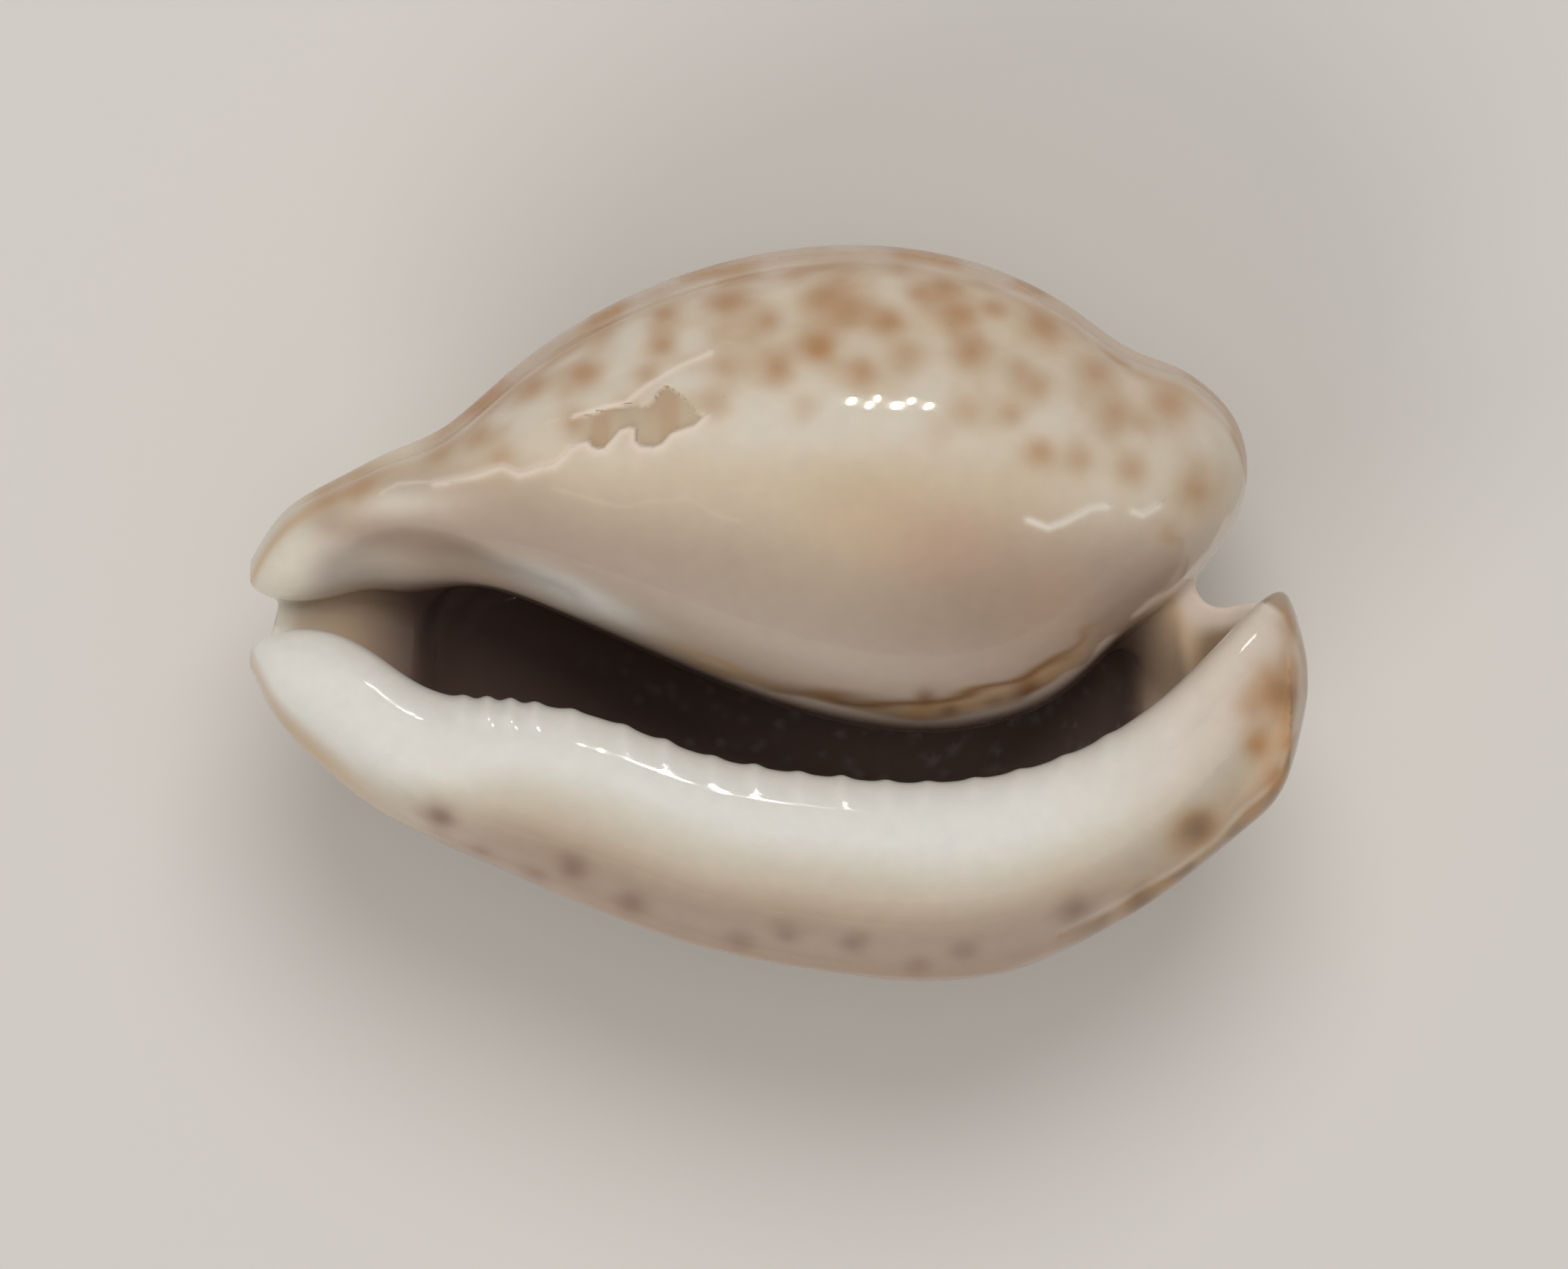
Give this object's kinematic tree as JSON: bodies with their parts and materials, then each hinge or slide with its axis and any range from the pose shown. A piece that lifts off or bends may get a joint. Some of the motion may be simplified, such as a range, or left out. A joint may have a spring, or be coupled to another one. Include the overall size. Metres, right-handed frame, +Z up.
{
  "type": "cowrie shell",
  "caption": "Wide-mouthed cowrie shell lying on its back with the mouth up: a bulging last whorl, a rolled outer lip and a thin bowl of a back.",
  "frame": {"origin": "middle of the bounding box at its bottom, the surface that the shell's back rests on", "axes": "+X from the front canal to the rear (spire) end, +Y to the columella's side, +Z up out of the mouth"},
  "size_m": [0.0598, 0.0418, 0.031],
  "materials": {
    "porcelain_shell": "gloss"
  },
  "bodies": {
    "root": {"cowrie_shell": "porcelain_shell"}
  },
  "joints": []
}
